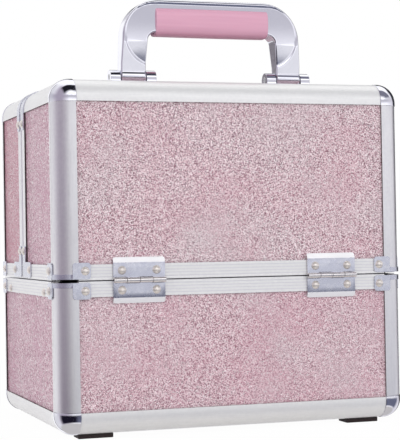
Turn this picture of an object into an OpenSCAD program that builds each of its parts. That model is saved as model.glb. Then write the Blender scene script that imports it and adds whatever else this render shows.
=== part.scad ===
// Makeup storage case with handle: an aluminium-framed case with glitter boards.
// A base box carries two upper halves, each hinged along its own long side, and four cantilever trays.
// Millimetres. +Z up, front towards -Y, origin on the ground under the middle of the case.

/* [Case] */
// Width over the aluminium edges
case_w = 266; // [240:1:320]
// Depth over the aluminium edges
case_d = 200; // [190:1:240]
// Height of the closed case without feet and handle
case_h = 250; // [240:1:300]
// Height of the base box
base_h = 108; // [95:1:125]
// Distance of the line where the halves meet behind the middle
split_back = 12; // [4:1:14]
// Gap between the base and the halves, and between the halves
joint_gap = 0.8; // [0.4:0.1:1.2]

/* [Boards] */
// Thickness of the glitter-faced boards
board_t = 3; // [2.5:0.1:4]
// Thickness of the black lining sheets
lining_t = 0.8; // [0.5:0.1:0.9]
// Distance that the lining stops short of the aluminium
lining_gap = 0.4; // [0.2:0.1:1]

/* [Aluminium profiles] */
// Width of an edge profile's flange
flange_w = 16; // [14:0.5:18]
// Outer radius of an edge profile
round_r = 14; // [12:0.5:14.5]
// Thickness of a profile's outer skin
skin_t = 1.2; // [1:0.1:1.6]
// Thickness of a profile's inner flange
inner_t = 1; // [0.9:0.1:1.4]
// Height of the rim strips along the opening
rim_h = 11; // [10:0.5:13]
// Thickness of the rim strip's closed edge
rim_web = 1.5; // [1:0.1:2.5]
// Grooves along the face of a rim strip
rim_grooves = 4; // [2:1:5]
// Width of a rim groove
groove_w = 0.5; // [0.3:0.1:0.8]
// Depth of a rim groove
groove_d = 0.3; // [0.2:0.05:0.5]
// Width of the trims along the line where the halves meet
trim_w = 11; // [9:0.5:13]
// Radius of the trim's outer edge
trim_round = 2.5; // [1.5:0.1:3]
// Distance that the columns stop short of the opening
column_relief = 1.2; // [0.5:0.1:2]
// Play of a board in its slot
slot_fit = 0.1; // [0.05:0.01:0.3]

/* [Corner caps and straps] */
// Distance that a corner cap stands proud of the profiles
cap_proud = 0.4; // [0.2:0.1:0.8]
// Thickness of the straps and brackets
strap_t = 0.8; // [0.6:0.1:1.2]
// Length of a strap measured from the corner
strap_len = 24.5; // [22:0.5:28]
// Height of a strap's narrow band round the column
strap_band = 3.5; // [3:0.5:6]
// Height of a strap's tabs
strap_tab_h = 11.6; // [10:0.2:12]
// Width of a strap's tabs
strap_tab_w = 13; // [11:0.5:14]
// Length of a split bracket's legs at the rim
bracket_leg = 30; // [28:1:34]
// Height of a split bracket's upright leg
bracket_rise = 25; // [23:1:30]
// Length of a top bracket's legs from the corner
wrap_leg = 29; // [27:1:34]

/* [Rivets] */
// Radius of a rivet's domed head
rivet_head_r = 3.1; // [2.6:0.1:3.4]
// Height of a rivet's domed head
rivet_head_h = 1.8; // [1.2:0.1:2.2]
// Radius of a rivet's shank
rivet_r = 1.5; // [1:0.1:1.8]
// Play round a rivet's shank
rivet_fit = 0.05; // [0.02:0.01:0.1]
// Distance of a rivet from the end of its tab
rivet_end = 4; // [3.5:0.1:5]
// Distance of a top bracket's rivet from the bracket's end
wrap_rivet_end = 5; // [4.5:0.1:6]
// Distance of the straps' and hinges' rivets from the opening
rivet_rise = 7; // [6.5:0.1:7.5]

/* [Hinges] */
// Distance of a hinge's middle from the case's middle
hinge_x = 73.5; // [60:0.5:80]
// Width of a hinge
hinge_w = 38; // [34:1:42]
// Height of a hinge leaf without its lip
leaf_h = 11.4; // [11:0.1:13]
// Height of the lip that folds back to the board
lip_h = 4.8; // [3:0.1:6]
// Thickness of a hinge leaf
leaf_t = 1.2; // [1:0.1:1.4]
// Outer radius of the knuckles
knuckle_r = 2; // [1.8:0.1:2.4]
// Radius of the hinge pin
hinge_pin_r = 1; // [0.8:0.05:1.2]
// Play round a hinge pin
pin_fit = 0.05; // [0.02:0.01:0.1]
// Gap between two knuckles
knuckle_gap = 0.3; // [0.2:0.05:0.5]

/* [Feet] */
// Height of a rubber foot
foot_h = 3.5; // [3:0.5:6]
// Length of a foot
foot_l = 25.5; // [20:0.5:34]
// Depth of a foot
foot_d = 15; // [12:1:18]
// Distance of a foot's middle from the case's side
foot_in = 30; // [29:1:38]
// Distance of a foot's front from the case's front
foot_back = 13.5; // [11:0.5:20]

/* [Handle] */
// Distance of the handle's axle from the front of the case
handle_v = 52; // [48:1:60]
// Height of the handle's axle above the case
handle_axle_h = 6.8; // [6.8:0.1:7.6]
// Height of the handle's top above the case
handle_h = 64.7; // [58:0.5:72]
// Width over the handle's legs
handle_w = 142; // [136:1:150]
// Width of a leg
leg_w = 19; // [16:0.5:20]
// Depth of a leg, front to back
leg_d = 15; // [13:0.5:17]
// Depth of a leg just above its axle
leg_waist_d = 10; // [9:0.5:12]
// Depth of a leg's round foot at its axle
leg_foot_d = 13; // [12:0.5:14]
// Distance that each leg leans inwards
leg_lean = 1.2; // [0:0.1:4]
// Height above the axle at which the legs begin to lean
lean_from = 10; // [8:0.5:12]
// Outer radius of the handle's corners
arch_r = 28.5; // [22:0.5:30]
// Inner radius of the handle's corners
arch_in_r = 7; // [4:0.5:9]
// Length of the soft grip
grip_l = 89.6; // [80:0.2:96]
// Height of the soft grip
grip_h = 21.6; // [19:0.2:23]
// Depth of the soft grip
grip_d = 20; // [18:0.5:22]
// Rounding of the soft grip
grip_r = 7; // [4:0.5:8]
// Thickness of the handle's bare spine above the grip
spine_h = 5.4; // [4:0.2:6]
// Width of the handle's core inside the grip
core_d = 9; // [7:0.5:11]
// Height of the handle's inner edge above the underside of the grip
core_rise = 2.4; // [1.5:0.1:4]
// Play between the handle and its bearings
leg_play = 0.5; // [0.3:0.1:1]
// Width of a bearing's lobes
lobe_w = 7.5; // [7:0.5:10]
// Radius of a bearing's lobes
lobe_r = 6; // [6:0.5:8]
// Height of a bearing above the case
lobe_h = 12; // [11.5:0.5:13]
// Depth of a bearing's foot plate
bearing_d = 22; // [20:1:26]
// Width of the strip that joins a bearing's two lobes
bearing_strip = 3.5; // [2.5:0.1:4]
// Radius of the spigots under a bearing
spigot_r = 2; // [1.5:0.1:2.5]
// Radius of the handle's axle pins
handle_pin_r = 2; // [1.5:0.1:2.5]

/* [Latches] */
// Distance of a latch's middle from the case's side
latch_in = 36; // [31:0.5:37]
// Width of a latch
latch_w = 24; // [20:1:26]
// Distance of the latch's hinge in front of the split
latch_back = 26; // [22:1:30]
// Height of the latch's hinge above the case
latch_axle_h = 3.4; // [3.3:0.1:5]
// Height of the underside of the hasp above the case
hasp_h = 5.3; // [5.2:0.1:8]
// Thickness of the hasp
hasp_t = 1.4; // [1.2:0.1:2]
// Distance that the hasp reaches past the split
hasp_reach = 9; // [5:0.5:11]
// Thickness of the hasp's neck
neck_t = 2; // [1.6:0.1:2.4]
// Play between the hasp and each ear
latch_play = 0.5; // [0.3:0.1:0.8]
// Thickness of the latch plates and of the locks' feet
fitting_t = 1.2; // [1:0.1:1.5]
// Depth of a latch plate
plate_d = 12; // [11.5:0.5:14]
// Distance of a latch plate's front from the latch's hinge
plate_reach = 8; // [7.5:0.1:8.5]
// Width of a latch plate's ears
ear_w = 2.5; // [2:0.1:3]
// Thickness of an ear round the hasp's barrel
ear_wall = 0.9; // [0.8:0.1:1.2]
// Radius of the hasp's barrel
barrel_r = 1.9; // [1.8:0.1:2.4]
// Radius of the hasp's trunnions
trunnion_r = 1.2; // [1:0.1:1.6]
// Depth of the lock body
lock_d = 13; // [10:1:15]
// Height of the lock body
lock_h = 5.5; // [5:0.5:9]
// Metal round a lock foot's rivet head
lock_foot_spare = 1; // [0.8:0.1:2]
// Radius of the keyhole
keyhole_r = 1.6; // [1.3:0.1:1.8]
// Width of the keyhole's slot
keyslot_w = 1.2; // [1:0.1:1.5]
// Length of the keyhole's slot from its middle
keyslot_l = 3.4; // [2.5:0.1:4]
// Depth of the keyhole
keyhole_d = 2; // [1:0.5:4]

/* [Trays and arms] */
// Height of a tray
tray_h = 42; // [36:1:44]
// Thickness of a tray's walls and floor
tray_wall = 2; // [1.5:0.1:3]
// Compartments along a tray
tray_cells = 3; // [2:1:5]
// Corner radius of a tray
tray_r = 5; // [3:0.5:8]
// Height of the lower tray's floor above the opening
tray_rise = 14; // [14:0.5:16]
// Distance from one tray to the next, upwards
tray_pitch = 50; // [49:0.5:52]
// Distance of a tray from the outer face of its half
tray_out = 16; // [16:0.5:18]
// Distance of a tray from the line where the halves meet
tray_in = 6; // [5:0.5:8]
// Height of the tray studs above the tray's floor
stud_h = 12.6; // [11:0.2:14]
// Radius of the arm pivots and studs
stud_r = 2; // [1.5:0.1:2.5]
// Width of an arm
arm_w = 12; // [10:0.5:12]
// Thickness of an arm
arm_t = 1.2; // [1:0.1:1.3]
// Thickness of a pull link
link_t = 1; // [0.8:0.1:1.1]
// Gap between the side walls, links, arms and trays
plate_gap = 0.25; // [0.2:0.05:0.3]
// Distance of an inner arm's pivot from the outer face
arm_v = 40; // [38:0.5:42]
// Depth of an inner arm's pivot below the opening
arm_drop = 8.3; // [8:0.1:8.6]
// Distance of the front upper tray's inner studs from the tray's inner wall
front_stud_in = 20.46; // [20.3:0.02:20.6]
// Distance of the back upper tray's inner studs from the tray's inner wall
back_stud_in = 10.7; // [10.6:0.02:10.8]
// Distance of a pull link's pivot from the outer face
link_v = 13.6; // [13:0.1:13.9]
// Height of a front pull link's pivot above the opening
front_link_w = 21; // [20.5:0.1:22]
// Height of a back pull link's pivot above the opening
back_link_w = 15.5; // [15:0.1:16]
// Radius of the hole at a pull link's open end
link_hole_r = 4; // [3.9:0.1:4.4]
// Metal round that hole
link_rim = 2.4; // [2:0.1:2.6]
// Distance of that hole's middle below the stud in the front links, across the link
front_eye_drop = 1.45; // [1.4:0.05:1.5]
// Distance of that hole's middle below the stud in the back links, across the link
back_eye_drop = 1.3; // [1.25:0.05:1.35]
// Distance of that hole's middle before the stud in the back links, along the link
back_eye_short = 0.9; // [0.85:0.05:0.95]
// Thickness of the flat heads of the pivot rivets and studs
stud_head_t = 0.8; // [0.6:0.1:1]
// Width of a pull link at its pivot
link_bar_w = 10; // [8:0.5:10]

/* [Hidden] */
$fn = 48;

aluminium = "#d8dadd";
chrome = "#c3c6d2";
glitter_pink = "#dba9bb";
grip_pink = "#d69cb8";
rubber = "#3a2a2a";
lining_black = "#232326";
tray_black = "#2c2c30";
steel = "#b9bcc4";

eps = 0.01;
stack = skin_t + board_t + inner_t;
slot_start = round_r + 2 * slot_fit;
board_start = slot_start + slot_fit;
lap = joint_gap / 2;
split_z = foot_h + base_h;
top_z = foot_h + case_h;
half_h = case_h - base_h;
cap_len = flange_w + cap_proud;
front_depth = case_d / 2 + split_back - lap;
back_depth = case_d / 2 - split_back - lap;
strap_rivet = strap_len - rivet_end;
hinge_axis_out = knuckle_r + leaf_t / 3;
board_inset = skin_t + slot_fit / 2;
board_slot = board_t - slot_fit;
stud_seat = skin_t + board_t / 2;

// ---- Placing ----

module flip_x(on) {
    if (on) mirror([1, 0, 0]) children();
    else children();
}

module flip_z(on) {
    if (on) mirror([0, 0, 1]) children();
    else children();
}

// Draws a left-hand piece and its right-hand twin.
module left_and_right() {
    for (side = [0, 1]) flip_x(side == 1) children();
}

// In a half's frame, y is the distance inwards from its outer face.
module front_frame() {
    translate([0, -case_d / 2, 0]) children();
}

module back_frame() {
    mirror([0, 1, 0]) translate([0, -case_d / 2, 0]) children();
}

module half_frame(front) {
    if (front) front_frame() children();
    else back_frame() children();
}

module front_and_back() {
    for (front = [true, false]) half_frame(front) children();
}

// Stands a piece drawn for the region above z = 0 on the opening, or hangs it below.
module at_opening(above) {
    translate([0, 0, split_z]) flip_z(!above) children();
}

// The left side's outer face becomes the plane y = 0, with x inwards along the half.
module on_left_side() {
    translate([-case_w / 2, 0, 0]) rotate([0, 0, 90]) mirror([0, 1, 0]) children();
}

function depth_of(front) = front ? front_depth : back_depth;

// ---- Profiles ----

// Edge profile: a rounded corner with two slots for boards; x and y run inwards.
module edge_section() {
    difference() {
        intersection() {
            union() {
                square([flange_w, stack]);
                square([stack, flange_w]);
            }
            union() {
                translate([round_r, round_r]) circle(round_r);
                translate([round_r, 0]) square([flange_w, flange_w]);
                translate([0, round_r]) square([flange_w, flange_w]);
            }
        }
        translate([slot_start, skin_t]) square([flange_w, board_t]);
        translate([skin_t, slot_start]) square([board_t, flange_w]);
    }
}

// Rim strip: x is the depth from the outer face, y the distance from the opening.
module rim_section() {
    groove_pitch = rim_h / (rim_grooves + 1);
    difference() {
        square([stack, rim_h]);
        translate([skin_t, rim_web]) square([board_t, rim_h]);
        for (k = [1 : rim_grooves])
            translate([-groove_d, k * groove_pitch - groove_w / 2]) square([2 * groove_d, groove_w]);
    }
}

// Trim along the split: x is the depth from the outer face, y the distance from the split.
module trim_section() {
    difference() {
        union() {
            translate([0, trim_round]) square([stack, trim_w - trim_round]);
            translate([trim_round, 0]) square([stack - trim_round, trim_w]);
            translate([trim_round, trim_round]) circle(trim_round);
        }
        translate([skin_t, rim_web + trim_round / 2]) square([board_t, trim_w]);
    }
}

// Upright profile at the left front corner of a frame.
module column(low, high) {
    translate([-case_w / 2, 0, low]) linear_extrude(high - low) edge_section();
}

// Profile along the front edge, with z = 0 at its outer face.
module edge_along_x() {
    run = case_w - 2 * cap_len;
    translate([-run / 2, 0, 0]) rotate([90, 0, 90]) linear_extrude(run) edge_section();
}

// Profile along the left edge from y = cap_len to the given end.
module edge_along_y(end) {
    run = end - cap_len;
    translate([-case_w / 2, end, 0]) rotate([90, 0, 0]) linear_extrude(run) edge_section();
}

// ---- Corner caps ----

// Rounded corner block, its faces inset by the given amount, reaching len inwards.
module corner_block(inset, len) {
    ball_r = round_r - inset;
    run = len - round_r;
    side = len - inset;
    intersection() {
        translate([inset, inset, inset]) cube([side, side, side]);
        union() {
            translate([round_r, round_r, round_r]) {
                sphere(ball_r, $fn = 64);
                cylinder(r = ball_r, h = len);
                rotate([0, 90, 0]) cylinder(r = ball_r, h = len);
                rotate([-90, 0, 0]) cylinder(r = ball_r, h = len);
            }
            translate([round_r, round_r, inset]) cube([run, run, side]);
            translate([round_r, inset, round_r]) cube([run, side, run]);
            translate([inset, round_r, round_r]) cube([side, run, run]);
        }
    }
}

// Corner cap at the left front corner, with z = 0 at the outer face.
module corner_cap() {
    color(chrome) difference() {
        translate([-case_w / 2, 0, 0]) corner_block(-cap_proud, cap_len);
        translate([-case_w / 2, 0, 0]) corner_block(skin_t, cap_len + 1);
    }
}

// ---- Rivets ----

// A rivet standing on the plane y = 0, head towards -y, shank going in by the given length.
module rivet(shank) {
    ball_r = (rivet_head_r * rivet_head_r + rivet_head_h * rivet_head_h) / (2 * rivet_head_h);
    rotate([90, 0, 0]) {
        intersection() {
            translate([0, 0, rivet_head_h - ball_r]) sphere(ball_r);
            cylinder(r = rivet_head_r, h = rivet_head_h);
        }
        translate([0, 0, -shank]) cylinder(r = rivet_r, h = shank + eps);
    }
}

module rivet_hole(depth) {
    translate([0, depth, 0]) rotate([90, 0, 0]) cylinder(r = rivet_r + rivet_fit, h = 2 * depth);
}

// Places of the rivets along a long side: x from the middle, z from the opening.
function long_rivets() = [
    [-hinge_x - hinge_w / 3, rivet_rise],
    [-hinge_x + hinge_w / 3, rivet_rise],
    [-case_w / 2 + strap_rivet, rivet_rise]];

function hinge_rivets() = [long_rivets()[0], long_rivets()[1]];
function strap_rivets() = [long_rivets()[2]];

module rivets_at(places, seat, shank) {
    for (p = places) translate([p[0], -seat, p[1]]) rivet(shank);
}

module holes_at(places, depth) {
    for (p = places) translate([p[0], 0, p[1]]) rivet_hole(depth);
}

// Rivets of the split brackets on a side: x from the outer face, z from the opening.
function bracket_rivets(depth) = [
    [depth - trim_w / 2, bracket_rise - rivet_end],
    [depth - bracket_leg + rivet_end, rivet_rise]];

function wrap_rivet(depth) = [depth - trim_w / 2, half_h - wrap_leg + wrap_rivet_end];

// ---- Rims, straps and boards ----

// Rim strip along a long side, above z = 0, with its rivet holes.
module long_rim() {
    run = case_w - 2 * flange_w;
    color(aluminium) difference() {
        translate([-run / 2, 0, lap]) rotate([90, 0, 90]) linear_extrude(run) rim_section();
        left_and_right() holes_at(long_rivets(), skin_t);
    }
}

// Rim strip along the left side, drawn on the plane y = 0 with x inwards along the side.
module side_rim_strip(start, end) {
    translate([start, 0, lap]) rotate([90, 0, 90]) linear_extrude(end - start) rim_section();
}

// Strap round the left front column, above z = 0.
module strap() {
    low = column_relief;
    tab_start = strap_len - strap_tab_w;
    color(chrome) difference() {
        translate([-case_w / 2, 0, low]) {
            strap_band_shape(strap_band);
            for (turn = [false, true]) strap_turn(turn)
                translate([tab_start, -strap_t, 0]) cube([strap_tab_w, strap_t, strap_tab_h]);
        }
        holes_at(strap_rivets(), strap_t + eps);
        strap_side_hole();
    }
}

// Mirrors a piece of the front face onto the side face across the corner's diagonal.
module strap_turn(on) {
    if (on) mirror([1, -1, 0]) children();
    else children();
}

module strap_side_hole() {
    translate([-case_w / 2, strap_rivet, rivet_rise]) rotate([0, 90, 0])
        cylinder(r = rivet_r + rivet_fit, h = 4 * strap_t, center = true);
}

module strap_band_shape(height) {
    linear_extrude(height) difference() {
        union() {
            translate([round_r, round_r]) circle(round_r + strap_t);
            translate([round_r, -strap_t]) square([strap_len - round_r, strap_t + round_r]);
            translate([-strap_t, round_r]) square([strap_t + round_r, strap_len - round_r]);
        }
        translate([round_r, round_r]) circle(round_r);
        translate([round_r, 0]) square([strap_len, strap_len]);
        translate([0, round_r]) square([strap_len, strap_len]);
        translate([round_r, round_r]) square([strap_len, strap_len]);
    }
}

// Board standing on a long side, from the given height to the rim.
module long_board(low, high) {
    run = case_w - 2 * board_start;
    translate([-run / 2, board_inset, low]) cube([run, board_slot, high - low]);
}

// Board on the left side, drawn on the plane y = 0.
module side_board(start, end, low, high) {
    translate([start, board_inset, low]) cube([end - start, board_slot, high - low]);
}

// Lining sheet on the plane y = 0, behind the boards.
module lining_sheet(start, end, low, high) {
    translate([start + lining_gap, skin_t + board_t, low + lining_gap])
        cube([end - start - 2 * lining_gap, lining_t, high - low - 2 * lining_gap]);
}

// ---- Base ----

base_board_low = foot_h + board_start;
base_board_high = split_z - lap - rim_web - slot_fit;

module base_floor() {
    color(glitter_pink)
        translate([-case_w / 2 + board_start, -case_d / 2 + board_start, foot_h + board_inset])
            cube([case_w - 2 * board_start, case_d - 2 * board_start, board_slot]);
}

module base_front_panel() {
    color(glitter_pink) front_frame() long_board(base_board_low, base_board_high);
}

module base_back_panel() {
    color(glitter_pink) back_frame() long_board(base_board_low, base_board_high);
}

// Holes for the arm pivots, on the plane y = 0 of the left side's front half.
module arm_pivot_holes() {
    for (p = arm_pivots()) translate([p[0], 2 * stack, split_z + p[1]])
        rotate([90, 0, 0]) cylinder(r = stud_r + rivet_fit, h = 4 * stack);
}

module base_side_panels() {
    color(glitter_pink) left_and_right() difference() {
        front_frame() on_left_side()
            side_board(board_start, case_d - board_start, base_board_low, base_board_high);
        front_and_back() on_left_side() arm_pivot_holes();
    }
}

module base_columns() {
    color(aluminium) front_and_back() left_and_right()
        column(foot_h + cap_len, split_z - column_relief);
}

module base_bottom_edges() {
    color(aluminium) {
        front_and_back() translate([0, 0, foot_h]) edge_along_x();
        left_and_right() front_frame() translate([0, 0, foot_h]) edge_along_y(case_d - cap_len);
    }
}

module base_corner_caps() {
    front_and_back() left_and_right() translate([0, 0, foot_h]) corner_cap();
}

module base_rim_strips() {
    front_and_back() at_opening(false) long_rim();
    color(aluminium) left_and_right() difference() {
        front_frame() at_opening(false) on_left_side() side_rim_strip(flange_w, case_d - flange_w);
        front_and_back() on_left_side() arm_pivot_holes();
    }
}

module base_straps() {
    color(chrome) front_and_back() left_and_right() difference() {
        at_opening(false) strap();
        on_left_side() arm_pivot_holes();
    }
}

module base_rivets() {
    color(chrome) front_and_back() left_and_right() at_opening(false) {
        rivets_at(hinge_rivets(), leaf_t, leaf_t + skin_t);
        rivets_at(strap_rivets(), strap_t, strap_t + skin_t);
    }
}

module base_lining() {
    sheet_high = split_z - lap - rim_h;
    sheet_low = foot_h + flange_w;
    color(lining_black) {
        front_and_back()
            lining_sheet(-case_w / 2 + flange_w, case_w / 2 - flange_w, sheet_low, sheet_high);
        left_and_right() front_frame() on_left_side()
            lining_sheet(flange_w, case_d - flange_w, sheet_low, sheet_high);
        translate([-case_w / 2 + flange_w + lining_gap, -case_d / 2 + flange_w + lining_gap,
                foot_h + skin_t + board_t])
            cube([case_w - 2 * flange_w - 2 * lining_gap, case_d - 2 * flange_w - 2 * lining_gap, lining_t]);
    }
}

// Rubber feet: each bears on the bottom profile and on the recessed floor board.
module feet() {
    color(rubber) front_and_back() left_and_right()
        translate([-case_w / 2 + foot_in - foot_l / 2, foot_back, 0]) {
            cube([foot_l, foot_d, foot_h]);
            translate([0, max(flange_w - foot_back, 0), 0])
                cube([foot_l, foot_d - max(flange_w - foot_back, 0), foot_h + board_inset]);
        }
}

// ---- Hinges ----

knuckle_l = (hinge_w - 3 * knuckle_gap) / 4;

// Leaf on the left of the middle, above z = 0; first is its first knuckle, 0 or 1.
module hinge_leaf(first) {
    color(chrome) translate([-hinge_x - hinge_w / 2, 0, 0]) difference() {
        union() {
            translate([0, -leaf_t, lap]) cube([hinge_w, leaf_t, leaf_h - lap]);
            leaf_lip();
            for (k = [first, first + 2]) translate([k * (knuckle_l + knuckle_gap), 0, 0]) knuckle();
        }
        for (k = [1 - first, 3 - first])
            translate([k * (knuckle_l + knuckle_gap) - knuckle_gap, -2 * knuckle_r, -2 * knuckle_r])
                cube([knuckle_l + 2 * knuckle_gap, 2 * knuckle_r, 3 * knuckle_r + knuckle_gap]);
        translate([-1, -hinge_axis_out, 0]) rotate([0, 90, 0])
            cylinder(r = hinge_pin_r + pin_fit, h = hinge_w + 2);
        for (x = [hinge_w / 2 - hinge_w / 3, hinge_w / 2 + hinge_w / 3])
            translate([x, 0, rivet_rise]) rivet_hole(leaf_t + eps);
    }
}

module knuckle() {
    translate([0, -hinge_axis_out, 0]) rotate([0, 90, 0]) cylinder(r = knuckle_r, h = knuckle_l);
}

// The lip runs back from the leaf's face to the recessed board.
module leaf_lip() {
    translate([0, 0, leaf_h]) rotate([90, 0, 90]) linear_extrude(hinge_w)
        polygon([[-leaf_t, 0], [0, 0], [0, lap + rim_h - leaf_h], [skin_t, lip_h],
            [0, lip_h], [-leaf_t, 1]]);
}

module hinge_base_leaves() {
    front_and_back() left_and_right() at_opening(false) hinge_leaf(0);
}

module hinge_pins() {
    color(steel) front_and_back() left_and_right()
        translate([-hinge_x - hinge_w / 2, -hinge_axis_out, split_z]) rotate([0, 90, 0])
            cylinder(r = hinge_pin_r, h = hinge_w);
}

// ---- Upper halves ----

half_board_low = split_z + lap + rim_web + slot_fit;
half_board_high = top_z - board_start;

// Distance along a side at which the board meets the trim's closed edge.
function board_end(front) = depth_of(front) - rim_web - trim_round / 2 - slot_fit;

module half_panel(front) {
    color(glitter_pink) half_frame(front) long_board(half_board_low, half_board_high);
}

module half_sides(front) {
    color(glitter_pink) half_frame(front) left_and_right() difference() {
        on_left_side() side_board(board_start, board_end(front), half_board_low, half_board_high);
        link_pivot_hole(front);
    }
}

function link_w_of(front) = front ? front_link_w : back_link_w;

// Hole for the left link's stud, from the middle of the side board inwards.
module link_pivot_hole(front) {
    translate([-case_w / 2 + stud_seat, link_v, split_z + link_w_of(front)]) rotate([0, 90, 0])
        cylinder(r = stud_r + rivet_fit, h = stack);
}

// Stud of the left pull link, standing on the side board, with a flat head.
module link_stud(front) {
    reach = case_w / 2 - link_x + link_t + plate_gap / 2;
    translate([-case_w / 2, link_v, split_z + link_w_of(front)]) rotate([0, 90, 0]) {
        translate([0, 0, stud_seat]) cylinder(r = stud_r, h = reach - stud_seat);
        translate([0, 0, reach]) cylinder(r = rivet_head_r, h = stud_head_t);
    }
}

// Top board, with holes for whatever stands on it.
module half_top(front) {
    color(glitter_pink) half_frame(front) difference() {
        translate([-case_w / 2 + board_start, board_start, top_z - board_inset - board_slot])
            cube([case_w - 2 * board_start, board_end(front) - board_start, board_slot]);
        if (front) left_and_right() spigot_places()
            cylinder(r = spigot_r + rivet_fit, h = 4 * stack, center = true);
        left_and_right() fitting_rivet_places(front)
            cylinder(r = rivet_r + rivet_fit, h = 4 * stack, center = true);
    }
}

module half_columns(front) {
    color(aluminium) half_frame(front) left_and_right() difference() {
        column(split_z + column_relief, top_z - cap_len);
        link_pivot_hole(front);
    }
}

module half_edges(front) {
    color(aluminium) half_frame(front) translate([0, 0, top_z]) mirror([0, 0, 1]) {
        edge_along_x();
        left_and_right() edge_along_y(depth_of(front));
    }
}

module half_caps(front) {
    half_frame(front) left_and_right() translate([0, 0, top_z]) mirror([0, 0, 1]) corner_cap();
}

module half_rims(front) {
    depth = depth_of(front);
    half_frame(front) {
        at_opening(true) long_rim();
        color(aluminium) left_and_right() at_opening(true) on_left_side() difference() {
            side_rim_strip(flange_w, depth);
            holes_at([[strap_rivet, rivet_rise], bracket_rivets(depth)[1]], skin_t);
        }
    }
}

module half_straps(front) {
    half_frame(front) left_and_right() at_opening(true) strap();
}

// Trims: one up each side and one across the top.
module half_trims(front) {
    depth = depth_of(front);
    upright = half_h - flange_w - lap - rim_h;
    across = case_w - 2 * flange_w;
    color(aluminium) half_frame(front) {
        left_and_right() on_left_side() difference() {
            translate([depth, 0, split_z + lap + rim_h]) rotate([0, 0, 90])
                linear_extrude(upright) trim_section();
            translate([0, 0, split_z])
                holes_at([bracket_rivets(depth)[0], wrap_rivet(depth)], skin_t);
        }
        difference() {
            translate([-across / 2, depth, top_z]) rotate([0, 90, 0]) rotate([0, 0, 180]) mirror([1, 0, 0])
                linear_extrude(across) trim_section();
            left_and_right() wrap_top_rivet_place(depth) cylinder(r = rivet_r + rivet_fit,
                h = 2 * skin_t, center = true);
        }
    }
}

module wrap_top_rivet_place(depth) {
    translate([-case_w / 2 + wrap_leg - wrap_rivet_end, depth - trim_w / 2, top_z]) children();
}

// Brackets that tie the side trims to the rim and to the top.
module half_brackets(front) {
    depth = depth_of(front);
    plate_w = trim_w - trim_round;
    color(chrome) half_frame(front) left_and_right() {
        on_left_side() translate([0, 0, split_z]) difference() {
            union() {
                translate([depth - trim_w, -strap_t, column_relief])
                    cube([plate_w, strap_t, bracket_rise - column_relief]);
                translate([depth - bracket_leg, -strap_t, column_relief])
                    cube([bracket_leg - trim_round, strap_t, strap_tab_h]);
            }
            holes_at(bracket_rivets(depth), strap_t + eps);
        }
        difference() {
            translate([-case_w / 2, depth - trim_round, top_z]) rotate([90, 0, 0])
                linear_extrude(plate_w) wrap_section();
            on_left_side() translate([0, 0, split_z]) holes_at([wrap_rivet(depth)], strap_t + eps);
            wrap_top_rivet_place(depth) cylinder(r = rivet_r + rivet_fit, h = 4 * strap_t, center = true);
        }
    }
}

// Plate bent over the rounded top edge: x inwards, y upwards from the top face.
module wrap_section() {
    mirror([0, 1]) difference() {
        union() {
            translate([round_r, round_r]) circle(round_r + strap_t);
            translate([round_r, -strap_t]) square([wrap_leg - round_r, strap_t + eps]);
            translate([-strap_t, round_r]) square([strap_t + eps, wrap_leg - round_r]);
        }
        translate([round_r, round_r]) circle(round_r);
        translate([round_r, 0]) square([wrap_leg, wrap_leg]);
        translate([0, round_r]) square([wrap_leg, wrap_leg]);
    }
}

module half_rivets(front) {
    depth = depth_of(front);
    color(chrome) half_frame(front) left_and_right() {
        at_opening(true) {
            rivets_at(hinge_rivets(), leaf_t, leaf_t + skin_t);
            rivets_at(strap_rivets(), strap_t, strap_t + skin_t);
            on_left_side() rivets_at([[strap_rivet, rivet_rise]], strap_t, strap_t + skin_t);
            on_left_side() rivets_at(bracket_rivets(depth), strap_t, strap_t + skin_t);
            on_left_side() rivets_at([wrap_rivet(depth)], strap_t, strap_t + skin_t);
        }
        wrap_top_rivet_place(depth) translate([0, 0, strap_t]) rotate([-90, 0, 0]) rivet(strap_t + skin_t);
        fitting_rivet_places(front) translate([0, 0, fitting_t - skin_t]) rotate([-90, 0, 0])
            rivet(fitting_t + board_t);
        link_stud(front);
    }
}

module half_lining(front) {
    depth = depth_of(front);
    sheet_low = split_z + lap + rim_h;
    sheet_high = top_z - flange_w;
    color(lining_black) half_frame(front) {
        lining_sheet(-case_w / 2 + flange_w, case_w / 2 - flange_w, sheet_low, sheet_high);
        left_and_right() on_left_side() lining_sheet(flange_w, depth - trim_w, sheet_low, sheet_high);
        translate([-case_w / 2 + flange_w + lining_gap, flange_w + lining_gap,
                top_z - skin_t - board_t - lining_t])
            cube([case_w - 2 * flange_w - 2 * lining_gap, depth - flange_w - trim_w - 2 * lining_gap,
                lining_t]);
    }
}

module half_leaves(front) {
    half_frame(front) left_and_right() at_opening(true) hinge_leaf(1);
}

// ---- Handle ----

handle_in = handle_w / 2 - leg_w;
bearing_in = handle_in - leg_play - lobe_w;
bearing_w = leg_w + 2 * leg_play + 2 * lobe_w;
arch_top = top_z + handle_h;
grip_top = arch_top - spine_h;
grip_low = grip_top - grip_h;
arch_in_top = grip_low + core_rise;
core_low = grip_low + grip_h / 3;
axle_z = top_z + handle_axle_h;
seat_z = top_z - skin_t;

// Places of the spigots that hold a left bearing, at the height of the top board.
module spigot_places() {
    for (x = [bearing_in + lobe_w / 2, bearing_in + bearing_w - lobe_w / 2])
        translate([-x, handle_v, seat_z]) children();
}

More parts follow.
